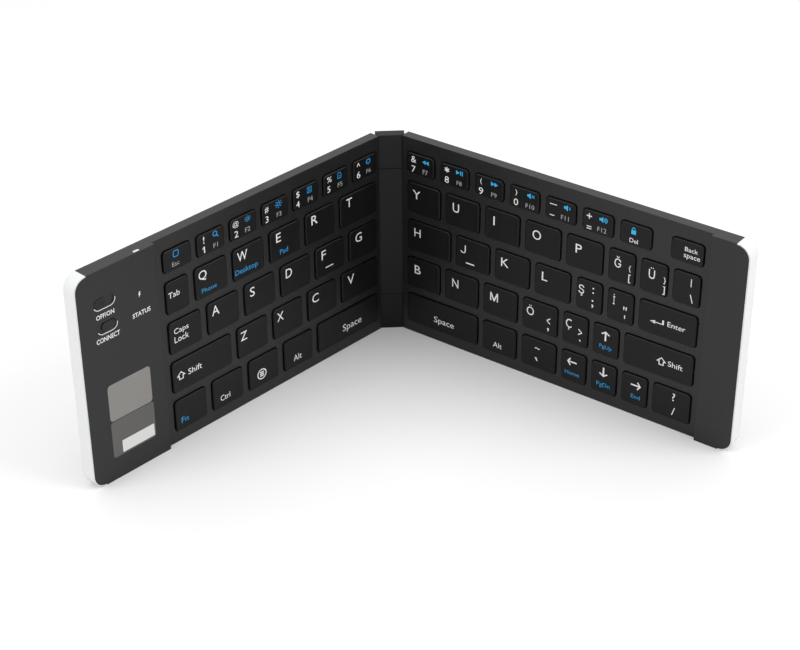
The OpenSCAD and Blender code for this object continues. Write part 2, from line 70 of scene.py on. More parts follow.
class Value:
    # A socket that can be used in sums: each operator adds one Math node
    def __init__(self, look, socket):
        self.look, self.socket = look, socket

    def math(self, operation, *others):
        inputs = {i: other for i, other in enumerate((self, *others))}
        return self.look.node("ShaderNodeMath", {"operation": operation}, inputs)

    def __add__(self, other):
        return self.math("ADD", other)

    def __sub__(self, other):
        return self.math("SUBTRACT", other)

    def __mul__(self, other):
        return self.math("MULTIPLY", other)

    def clip(self):
        return self.math("MAXIMUM", 0.0).math("MINIMUM", 1.0)


class Look:
    # The node tree of a material, or of the world when that is its owner
    def __init__(self, name, owner=None):
        self.owner = owner or bpy.data.materials.new(name)
        self.owner.use_nodes = True
        self.tree = self.owner.node_tree
        self.tree.nodes.clear()

    def node(self, kind, settings=None, inputs=None, output=0):
        made = self.tree.nodes.new(kind)
        for key, setting in (settings or {}).items():
            setattr(made, key, setting)
        for key, value in (inputs or {}).items():
            if isinstance(value, Value):
                self.tree.links.new(value.socket, made.inputs[key])
            else:
                made.inputs[key].default_value = value
        return Value(self, made.outputs[output])

    def blend(self, factor, a, b):
        # Two colours mixed by a factor
        made = self.tree.nodes.new("ShaderNodeMix")
        made.data_type = "RGBA"
        for socket, value in ((made.inputs[0], factor), (made.inputs[6], a), (made.inputs[7], b)):
            if isinstance(value, Value):
                self.tree.links.new(value.socket, socket)
            else:
                socket.default_value = value if isinstance(value, float) else (*value, 1)
        return Value(self, made.outputs[2])

    def coordinates(self):
        return self.node("ShaderNodeTexCoord", output="Object")

    def noise(self, size, detail=2.0, roughness=0.5):
        # Soft random pattern whose marks are about the given size in millimetres
        inputs = {"Vector": self.coordinates(), "Scale": 1 / (size * mm), "Detail": detail,
                  "Roughness": roughness}
        return self.node("ShaderNodeTexNoise", None, inputs)

    def surface(self, shader):
        end = self.tree.nodes.new("ShaderNodeOutputMaterial")
        self.tree.links.new(shader.socket, end.inputs["Surface"])
        return self.owner


def grainedPlastic(name, tone, wear, roughness, grain, depth, edge, shine=0.5, spread=0.12):
    # Moulded plastic: two scales of mottling in the tone, spark-eroded grain as a bump over
    # rounded edges, and a slightly smoother sheen where hands rub it
    look = Look(name)
    cloud = look.noise(9.0, 3.0)
    speck = look.noise(grain, 2.0, 0.6)
    mix = ((cloud - 0.5) * 0.8 + (speck - 0.5) * 1.2 + 0.5).clip()
    colour = look.blend(mix, tuple(t * (1 - spread) for t in tone),
                        tuple(t * (1 + spread) for t in tone))
    rounded = look.node("ShaderNodeBevel", {"samples": 4}, {"Radius": edge * mm})
    bump = look.node("ShaderNodeBump", None, {"Strength": 0.5, "Distance": depth * mm,
                                              "Height": speck, "Normal": rounded})
    shader = look.node("ShaderNodeBsdfPrincipled", None, {
        "Base Color": colour, "Roughness": (cloud - 0.5) * wear + roughness, "Normal": bump,
        "Specular IOR Level": shine})
    return look.surface(shader)


def glossPlastic(name, tone, roughness, edge):
    # Polished moulding: faint clouding in the tone and a little waviness in the gloss
    look = Look(name)
    cloud = look.noise(14.0, 2.0)
    wave = look.noise(5.0, 1.0)
    colour = look.blend(cloud, tuple(t * 0.975 for t in tone), tone)
    rounded = look.node("ShaderNodeBevel", {"samples": 4}, {"Radius": edge * mm})
    bump = look.node("ShaderNodeBump", None, {"Strength": 0.12, "Distance": 0.02 * mm,
                                              "Height": wave, "Normal": rounded})
    shader = look.node("ShaderNodeBsdfPrincipled", None, {
        "Base Color": colour, "Roughness": (cloud - 0.5) * 0.06 + roughness, "Normal": bump})
    return look.surface(shader)


def brushedMetal(name, tone, roughness, grain):
    # Metal with a fine mottle in its tone, roughness and height
    look = Look(name)
    streak = look.noise(grain, 4.0, 0.7)
    colour = look.blend(streak, tuple(t * 0.82 for t in tone), tone)
    bump = look.node("ShaderNodeBump", None, {"Strength": 0.3, "Distance": 0.01 * mm,
                                              "Height": streak})
    shader = look.node("ShaderNodeBsdfPrincipled", None, {
        "Base Color": colour, "Metallic": 1.0, "Roughness": (streak - 0.5) * 0.2 + roughness,
        "Normal": bump})
    return look.surface(shader)


def softMaterial(name, tone, roughness, grain, depth, spread=0.1):
    # Rubber, film, laminate and ink: a fine mottle with a matching bump
    look = Look(name)
    speck = look.noise(grain, 3.0, 0.6)
    colour = look.blend(speck, tuple(t * (1 - spread) for t in tone),
                        tuple(min(t * (1 + spread), 1.0) for t in tone))
    bump = look.node("ShaderNodeBump", None, {"Strength": 0.4, "Distance": depth * mm,
                                              "Height": speck})
    shader = look.node("ShaderNodeBsdfPrincipled", None, {
        "Base Color": colour, "Roughness": (speck - 0.5) * 0.1 + roughness, "Normal": bump})
    return look.surface(shader)


finishes = {
    "frame": grainedPlastic("frame plastic", (0.0085, 0.0085, 0.009), 0.10, 0.4, 0.22, 0.02, 0.22,
                            0.53),
    "key": grainedPlastic("key plastic", (0.0035, 0.0035, 0.0038), 0.08, 0.42, 0.18, 0.015, 0.1,
                          0.28),
    "spine": grainedPlastic("spine plastic", (0.006, 0.006, 0.0065), 0.10, 0.46, 0.22, 0.02, 0.3,
                            0.25),
    "control": grainedPlastic("control plastic", (0.006, 0.006, 0.0065), 0.08, 0.5, 0.2, 0.02,
                              0.15),
    "shell": glossPlastic("white shell", (0.91, 0.915, 0.92), 0.2, 0.35),
    "plate": brushedMetal("plate steel", (0.5, 0.51, 0.52), 0.4, 0.3),
    "leaf": brushedMetal("hinge steel", (0.06, 0.06, 0.062), 0.42, 0.2),
    "bright": brushedMetal("bright steel", (0.62, 0.62, 0.63), 0.25, 0.2),
    "magnet": brushedMetal("nickel", (0.6, 0.59, 0.56), 0.22, 0.4),
    "dome": softMaterial("silicone", (0.62, 0.6, 0.52), 0.5, 0.4, 0.01),
    "lever": softMaterial("lever plastic", (0.7, 0.7, 0.69), 0.4, 0.5, 0.01),
    "foot": softMaterial("foot rubber", (0.03, 0.03, 0.031), 0.75, 0.25, 0.03),
    "board": softMaterial("board laminate", (0.02, 0.12, 0.045), 0.4, 0.8, 0.01, 0.2),
    "foil": softMaterial("battery foil", (0.45, 0.46, 0.48), 0.35, 1.5, 0.05),
    "window": softMaterial("light window", (0.82, 0.83, 0.85), 0.25, 0.6, 0.005, 0.02),
    "film": softMaterial("cable film", (0.35, 0.13, 0.03), 0.3, 1.2, 0.01),
    "white": softMaterial("white ink", (0.93, 0.93, 0.93), 0.55, 0.12, 0.004, 0.05),
    "grey": softMaterial("grey ink", (0.4, 0.4, 0.4), 0.55, 0.12, 0.004, 0.05),
    "blue": softMaterial("blue ink", (0.02, 0.31, 0.68), 0.55, 0.12, 0.004, 0.08),
    "sky": softMaterial("sky blue ink", (0.03, 0.52, 0.95), 0.55, 0.12, 0.004, 0.05),
    "paleLabel": softMaterial("pale label", (0.27, 0.258, 0.245), 0.5, 0.9, 0.01, 0.06),
    "darkLabel": softMaterial("dark label", (0.115, 0.112, 0.108), 0.5, 0.9, 0.01, 0.06),
    "paper": softMaterial("label paper", (0.8, 0.8, 0.79), 0.6, 0.5, 0.01, 0.03),
}

wornBy = {
    "frame": ["left_key_frame", "right_key_frame", "left_end_cover", "right_end_cover"],
    "spine": ["spine_core", "spine_front_cover", "spine_back_cover", "hinge_caps"],
    "shell": ["left_back_shell", "right_back_shell"],
    "plate": ["left_support_plate", "right_support_plate", "board_switches", "charging_port"],
    "leaf": ["left_hinge_leaves", "right_hinge_leaves"],
    "bright": ["hinge_pins", "left_leaf_screws", "right_leaf_screws"],
    "magnet": ["left_magnets", "right_magnets"],
    "dome": ["left_dome_sheet", "right_dome_sheet"],
    "lever": ["left_scissors", "right_scissors"],
    "foot": ["left_feet", "right_feet"],
    "board": ["main_board"], "foil": ["battery"], "window": ["status_light"],
    "film": ["flex_cable"], "control": ["power_slider", "connect_button"],
}
for finish, nodes in wornBy.items():
    for node in nodes:
        mesh = frame["nodes"][node].data
        mesh.materials.clear()
        mesh.materials.append(finishes[finish])
print("finishes assigned")


# Meshes

def makePiece(name, points, faces, finish, faceFinish=None, closed=True):
    mesh = bpy.data.meshes.new(name)
    mesh.from_pydata(points.tolist(), [], faces)
    for one in finish:
        mesh.materials.append(finishes[one])
    if faceFinish is not None:
        mesh.polygons.foreach_set("material_index", faceFinish)
    if closed:
        shape = bmesh.new()
        shape.from_mesh(mesh)
        bmesh.ops.recalc_face_normals(shape, faces=shape.faces)
        shape.to_mesh(mesh)
        shape.free()
    mesh.update()
    piece = bpy.data.objects.new(name, mesh)
    bpy.context.scene.collection.objects.link(piece)
    return piece


def roundedRing(width, height, corner, steps=8):
    # Four quarter circles joined by straight sides, once round from the right
    turn = np.linspace(0, math.pi / 2, steps)[None, :] + np.arange(4)[:, None] * math.pi / 2
    alongs = np.array([1, -1, -1, 1])[:, None] * (width / 2 - corner)
    heights = np.array([1, 1, -1, -1])[:, None] * (height / 2 - corner)
    ring = np.stack([alongs + corner * np.cos(turn), heights + corner * np.sin(turn)], axis=-1)
    return ring.reshape(-1, 2)


def ringFaces(rings, around, first=0):
    # Quads between neighbouring rings, and one face over each end
    i, j = np.meshgrid(np.arange(rings - 1), np.arange(around), indexing="ij")
    step = (j + 1) % around
    quads = np.stack([i * around + j, i * around + step, (i + 1) * around + step,
                      (i + 1) * around + j], axis=-1).reshape(-1, 4) + first
    ends = [list(range(first + around - 1, first - 1, -1)),
            list(range(first + (rings - 1) * around, first + rings * around))]
    return quads.tolist() + ends


# Keycaps

cap = {"gap": 0.3, "rise": 0.8, "corner": 1.5, "leastCorner": 0.3, "edge": 0.42, "skirt": 0.7,
       "dish": 0.09, "dishInset": [0.9, 1.5, 2.3, 3.1], "dishShare": [0.25, 0.6, 0.9, 1.0]}
shoulder = np.linspace(0, math.pi / 2, 6)
capInset = np.concatenate([[0.0], cap["edge"] * (1 - np.cos(shoulder)), cap["dishInset"]])
capDepth = np.concatenate([
    [cap["skirt"]], cap["edge"] * (1 - np.sin(shoulder)) - cap["rise"],
    cap["dish"] * np.array(cap["dishShare"]) - cap["rise"]])
# Rows count from 1, the number row at the top, to 5 at the near edge
rowSizes = {"first": 4.45, "pitch": 16.5, "height": 13.45, "numberHeight": 9.15, "numberLift": 0.25}


def rowZ(row):
    lift = rowSizes["numberLift"] if row == 1 else 0
    return rowSizes["first"] + (5 - row) * rowSizes["pitch"] + lift


def rowHeight(row):
    return rowSizes["numberHeight"] if row == 1 else rowSizes["height"]


def keycapSurface(side, start, width, row):
    # The key's rounded outline drawn in by the profile's inset at each of its depths
    w, h = width - 2 * cap["gap"], rowHeight(row) - 2 * cap["gap"]
    rings = np.stack([roundedRing(w - 2 * inset, h - 2 * inset,
                                  max(cap["corner"] - inset, cap["leastCorner"]))
                      for inset in capInset])
    s = start + width / 2 + rings[..., 0]
    z = rowZ(row) + rowHeight(row) / 2 + rings[..., 1]
    points = place(side, s, capDepth[:, None], z)
    return points.reshape(-1, 3), rings.shape[0], rings.shape[1]


def capTop(keys, s, z):
    # Depth of the dished top under a place, from how far inside the key's outline it is
    depth = np.full(np.shape(s), -cap["rise"])
    for start, width, row in keys:
        fromSide = width / 2 - cap["gap"] - np.abs(s - start - width / 2)
        fromEnd = rowHeight(row) / 2 - cap["gap"] - np.abs(z - rowZ(row) - rowHeight(row) / 2)
        inside = np.minimum(fromSide, fromEnd)
        crown = np.interp(inside, capInset[len(shoulder):], capDepth[len(shoulder):])
        depth = np.where(inside > 0, crown, depth)
    return depth


def run(start, pitch, width, row, count):
    # Equal keys of one row, each as its start, width and row
    return [(start + i * pitch, width, row) for i in range(count)]


letter, wide, number, narrow = 15.7, 16, 13.4, 11.35
leftPitch, rightPitch, numberPitch, narrowPitch = 18.25, 18, 15.68, 13.2
leftStart, leftStagger, leftNumbers = 1.9, 24.85, 1.5
rightStart, homeStart, narrowHome, rightNumbers, backspaceStart = 2.35, 25.3, 79.6, 2.15, 116.95
leftEnd = leftStart + 5 * leftPitch + letter
leftWide = leftStagger - leftStart - (leftPitch - letter)
narrowStart = rightStart + 4 * rightPitch
rightEnd = narrowStart + rightPitch + 2 * narrowPitch + narrow
homeWide = homeStart - rightStart - (rightPitch - wide)


def upTo(end, start, row):
    # One key from its start to the end it shares with others
    return [(start, end - start, row)]


keys = {
    "left": {
        "esc_key": run(leftNumbers + 6 * numberPitch, 0, number, 1, 1),
        "tab_key": upTo(leftEnd, leftStagger + 4 * leftPitch, 2),
        "caps_lock_key": upTo(leftEnd, leftStart + 5 * leftPitch, 3),
        "left_shift_key": upTo(leftEnd, leftStagger + 3 * leftPitch, 4),
        "fn_key": upTo(leftEnd, leftStart + 5 * leftPitch, 5),
        "ctrl_key": run(leftStart + 4 * leftPitch, 0, letter, 5, 1),
        "system_key": run(leftStart + 3 * leftPitch, 0, letter, 5, 1),
        "left_alt_key": run(leftStart + 2 * leftPitch, 0, letter, 5, 1),
        "left_space_key": run(leftStart, 0, leftPitch + letter, 5, 1),
        "left_number_keys": run(leftNumbers, numberPitch, number, 1, 6),
        "left_top_letter_keys": [(leftStart, leftWide, 2)]
        + run(leftStagger, leftPitch, letter, 2, 4),
        "left_home_letter_keys": run(leftStart, leftPitch, letter, 3, 5),
        "left_low_letter_keys": [(leftStart, leftWide, 4)]
        + run(leftStagger, leftPitch, letter, 4, 3),
    },
    "right": {
        "delete_key": run(rightNumbers + 6 * numberPitch, 0, number, 1, 1),
        "backspace_key": run(backspaceStart, 0, number, 1, 1),
        "enter_key": upTo(rightEnd, narrowHome + 2 * narrowPitch, 3),
        "right_shift_key": upTo(rightEnd, narrowStart + 2 * narrowPitch, 4),
        "right_space_key": run(rightStart, 0, rightPitch + wide, 5, 1),
        "right_alt_key": run(rightStart + 2 * rightPitch, 0, wide, 5, 1),
        "tilde_key": run(rightStart + 3 * rightPitch, 0, wide, 5, 1),
        "slash_key": upTo(rightEnd, narrowStart + 3 * narrowPitch, 5),
        "arrow_keys": [(narrowStart + narrowPitch, narrow, 4)]
        + run(narrowStart, narrowPitch, narrow, 5, 3),
        "right_number_keys": run(rightNumbers, numberPitch, number, 1, 6),
        "right_top_letter_keys": run(rightStart, rightPitch, wide, 2, 5)
        + run(narrowStart + rightPitch, narrowPitch, narrow, 2, 3),
        "right_home_letter_keys": [(rightStart, homeWide, 3)]
        + run(homeStart, rightPitch, wide, 3, 3) + run(narrowHome, narrowPitch, narrow, 3, 2),
        "right_low_letter_keys": run(rightStart, rightPitch, wide, 4, 4)
        + [(narrowStart, narrow, 4)],
    },
}

for side, nodes in keys.items():
    for node, places in nodes.items():
        points, faces, first = [], [], 0
        for start, width, row in places:
            surface, rings, around = keycapSurface(side, start, width, row)
            points.append(surface)
            faces += ringFaces(rings, around, first)
            first += len(surface)
        caps = makePiece(node + "_caps", np.concatenate(points), faces, ["key"])
        caps.data.shade_smooth()
        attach(caps, node + "_body")
        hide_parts(node)
print("keycaps made:", sum(len(places) for nodes in keys.values() for places in nodes.values()))


# Signs are drawn in a unit square, x to the reader's right and y up

def stroke(points, width, closed=False):
    # A line of even width: each point is moved half a width to both sides along its mitre
    points = np.asarray(points, float)
    if closed:
        ahead, behind = np.roll(points, -1, 0) - points, points - np.roll(points, 1, 0)
    else:
        steps = np.diff(points, axis=0)
        ahead, behind = np.vstack([steps, steps[-1:]]), np.vstack([steps[:1], steps])
    ahead = ahead / np.linalg.norm(ahead, axis=1, keepdims=True)
    behind = behind / np.linalg.norm(behind, axis=1, keepdims=True)
    side = np.stack([-(ahead + behind)[:, 1], (ahead + behind)[:, 0]], 1)
    side /= np.linalg.norm(side, axis=1, keepdims=True)
    reach = width / 2 / np.maximum((side * np.stack([-ahead[:, 1], ahead[:, 0]], 1)).sum(1), 0.4)
    outline = np.vstack([points - side * reach[:, None], points + side * reach[:, None]])
    count = len(points)
    i = np.arange(count if closed else count - 1)
    j = (i + 1) % count
    return outline, np.stack([i, j, j + count, i + count], 1).tolist()


def filled(points):
    return np.asarray(points, float), [list(range(len(points)))]


def arc(x, y, radius, start, end, steps=14):
    turn = np.radians(np.linspace(start, end, steps))
    return np.stack([x + radius * np.cos(turn), y + radius * np.sin(turn)], 1)


def ringStroke(x, y, radius, width, steps=28):
    return stroke(arc(x, y, radius, 0, 360, steps + 1)[:-1], width, True)


def speaker():
    return [filled([(0, 0.3), (0.2, 0.3), (0.48, 0), (0.48, 1), (0.2, 0.7), (0, 0.7)])]


def sun(disc, inner, outer):
    turns = np.radians(np.arange(8) * 45)
    ways = np.stack([np.cos(turns), np.sin(turns)], 1)
    rays = [stroke([0.5 + way * inner, 0.5 + way * outer], 0.09) for way in ways]
    return [ringStroke(0.5, 0.5, disc, 0.1, 20)] + rays


def arrow(turn):
    # A shaft with a two-stroke head, turned in quarter turns from pointing right
    parts = [stroke([(0, 0.5), (0.97, 0.5)], 0.11),
             stroke([(0.68, 0.78), (0.97, 0.5), (0.68, 0.22)], 0.11)]
    c, k = round(math.cos(turn * math.pi / 2)), round(math.sin(turn * math.pi / 2))
    spin = np.array([[c, k], [-k, c]])
    return [((points - 0.5) @ spin + 0.5, faces) for points, faces in parts]


# Painted highlights along the lower rims of the switch and button dishes: line width, and each dish's
# centre and size
highlightWidth = 0.26
dishes = {"switchLip": {"at": (136.05, 72.6), "length": 9.1, "height": 4.6},
          "buttonLip": {"at": (135.6, 62.8), "length": 8.4, "height": 4.4}}


def paintedRimHighlight(dish):
    # A painted highlight: a white line where light from above would catch a dish's rim, under it and
    # round its right end
    radius, straight = (dish["height"] + highlightWidth) / 2, (dish["length"] - dish["height"]) / 2
    return stroke(np.vstack([arc(-straight, 0, radius, 205, 270),
                             arc(straight, 0, radius, 270, 365)]), highlightWidth)


signs = {
    "rewind": [filled([(0, 0.5), (0.5, 0), (0.5, 1)]), filled([(0.5, 0.5), (1, 0), (1, 1)])],
    "forward": [filled([(0, 0), (0.5, 0.5), (0, 1)]), filled([(0.5, 0), (1, 0.5), (0.5, 1)])],
    "playPause": [filled([(0, 0), (0.52, 0.5), (0, 1)]),
                  filled([(0.6, 0), (0.74, 0), (0.74, 1), (0.6, 1)]),
                  filled([(0.86, 0), (1, 0), (1, 1), (0.86, 1)])],
    "mute": speaker() + [stroke([(0.62, 0.3), (1, 0.72)], 0.09),
                         stroke([(0.62, 0.72), (1, 0.3)], 0.09)],
    "volumeDown": speaker() + [stroke(arc(0.42, 0.5, 0.32, -45, 45), 0.09)],
    "volumeUp": speaker() + [stroke(arc(0.36, 0.5, 0.28, -50, 50), 0.08),
                             stroke(arc(0.36, 0.5, 0.44, -50, 50), 0.08),
                             stroke(arc(0.36, 0.5, 0.6, -50, 50), 0.08)],
    "padlock": [filled([(0.08, 0), (0.92, 0), (0.92, 0.58), (0.08, 0.58)]),
                stroke(np.vstack([[(0.26, 0.56)], arc(0.5, 0.72, 0.24, 180, 0), [(0.74, 0.56)]]),
                       0.11)],
    "lens": [ringStroke(0.4, 0.6, 0.32, 0.13), stroke([(0.62, 0.38), (0.96, 0.04)], 0.17)],
    "sunSmall": sun(0.18, 0.3, 0.42),
    "sunLarge": sun(0.2, 0.32, 0.5),
    "keyboardBox": [stroke([(0.06, 0.06), (0.94, 0.06), (0.94, 0.94), (0.06, 0.94)], 0.1, True),
                    stroke([(0.26, 0.72), (0.74, 0.72)], 0.1),
                    stroke([(0.26, 0.5), (0.74, 0.5)], 0.1),
                    stroke([(0.26, 0.28), (0.74, 0.28)], 0.1)],
    "page": [stroke([(0.12, 0.06), (0.88, 0.06), (0.88, 0.7), (0.6, 0.94), (0.12, 0.94)], 0.12,
                    True), stroke([(0.3, 0.4), (0.68, 0.4)], 0.1)],
    "gear": [ringStroke(0.5, 0.5, 0.3, 0.12, 20)] + sun(0.12, 0.36, 0.5)[1:],
    "squareRing": [stroke(roundedRing(0.86, 0.86, 0.2, 6) + 0.5, 0.12, True)],
    "bolt": [filled([(0.42, 1), (0.9, 1), (0.62, 0.6), (1, 0.6), (0.2, 0), (0.42, 0.44),
                     (0.05, 0.44)])],
    "menuRing": [ringStroke(0.5, 0.5, 0.44, 0.1, 40)]
    + [stroke([(0.29, y), (0.71, y)], 0.11) for y in (0.33, 0.5, 0.67)],
    "arrowRight": arrow(0), "arrowUp": arrow(1), "arrowLeft": arrow(2), "arrowDown": arrow(3),
    "enterArrow": [stroke([(0.12, 0.3), (0.95, 0.3), (0.95, 1)], 0.12),
                   filled([(0, 0.3), (0.38, 0), (0.38, 0.6)])],
    "shiftArrow": [stroke([(0.27, 0.07), (0.73, 0.07), (0.73, 0.48), (0.93, 0.48), (0.5, 0.93),
                           (0.07, 0.48), (0.27, 0.48)], 0.1, True)],
    "bar": [filled([(0, 0), (1, 0), (1, 1), (0, 1)])],
    "M": [filled([(0, 0), (0.14, 0), (0.14, 1), (0, 1)]),
          filled([(0.86, 0), (1, 0), (1, 1), (0.86, 1)]),
          filled([(0, 1), (0.43, 0), (0.57, 0), (1, 1), (0.84, 1), (0.5, 0.24), (0.16, 1)])],
    "J": [stroke(np.vstack([[(0.6, 1)], arc(0.34, 0.3, 0.26, 0, -165)]), 0.11)],
    "*": [stroke([(0.5, 0), (0.5, 1)], 0.2), stroke([(0.07, 0.25), (0.93, 0.75)], 0.2),
          stroke([(0.07, 0.75), (0.93, 0.25)], 0.2)],
    "1": [filled([(0.48, 0), (0.78, 0), (0.78, 1), (0.52, 1), (0.1, 0.74), (0.1, 0.6),
                  (0.48, 0.78)])],
    **{name: [paintedRimHighlight(dish)] for name, dish in dishes.items()},
}
signs = {name: (np.vstack([points for points, _ in parts]), [
    [corner + sum(len(p) for p, _ in parts[:i]) for corner in face]
    for i, (_, faces) in enumerate(parts) for face in faces])
    for name, parts in signs.items()}
wordCurve = bpy.data.curves.new("word", "FONT")
wordCurve.resolution_u = 3
heavyWords, heavyOffset, widestWord = {"OFF/ON", "CONNECT", "STATUS"}, 0.016, 1.12
wordObject = bpy.data.objects.new("word", wordCurve)
bpy.context.scene.collection.objects.link(wordObject)


def lettering(word):
    # The flat outline of a word in the built-in face, kept once it has been made
    if word not in signs:
        wordCurve.body = word
        wordCurve.offset = heavyOffset if word in heavyWords else 0
        bpy.context.view_layer.update()
        mesh = wordObject.evaluated_get(bpy.context.evaluated_depsgraph_get()).to_mesh()
        outline = np.empty(len(mesh.vertices) * 3)
        mesh.vertices.foreach_get("co", outline)
        signs[word] = (outline.reshape(-1, 3)[:, :2],
                       [list(face.vertices) for face in mesh.polygons])
    return signs[word]


icons = set(signs)


def printed(word, left, right, low, high):
    # A word or sign fitted to its box: left and right as the reader sees them, in s. A sign
    # fills the box and a word stays narrower than widestWord times its natural width.
    outline, faces = lettering(word)
    least, most = outline.min(0), outline.max(0)
    size = most - least
    width = abs(right - left)
    if word not in icons:
        width = min(width, widestWord * size[0] / size[1] * (high - low))
    unit = (outline - least) / size
    way = 1 if right > left else -1
    return (left + right) / 2 + way * (unit[:, 0] - 0.5) * width, low + unit[:, 1] * (high - low), faces


ink = {"front": 0.018, "thickness": 0.03}


def printPiece(name, side, marks, body, under):
    # Every mark of one key group or plate: flat faces just in front of what carries them
    points, faces, colours, first = [], [], [], 0
    tones = sorted({mark[1] for mark in marks})
    for word, tone, left, right, low, high in marks:
        s, z, shape = printed(word, left, right, low, high)
        points.append(place(side, s, under(s, z) - ink["front"], z))
        faces += [[corner + first for corner in face] for face in shape]
        colours += [tones.index(tone)] * len(shape)
        first += len(s)
    piece = makePiece(name, np.concatenate(points), faces, tones, colours, closed=False)
    solid = piece.modifiers.new("thickness", "SOLIDIFY")
    solid.thickness = ink["thickness"] * mm
    solid.offset = -1
    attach(piece, body)
    return piece


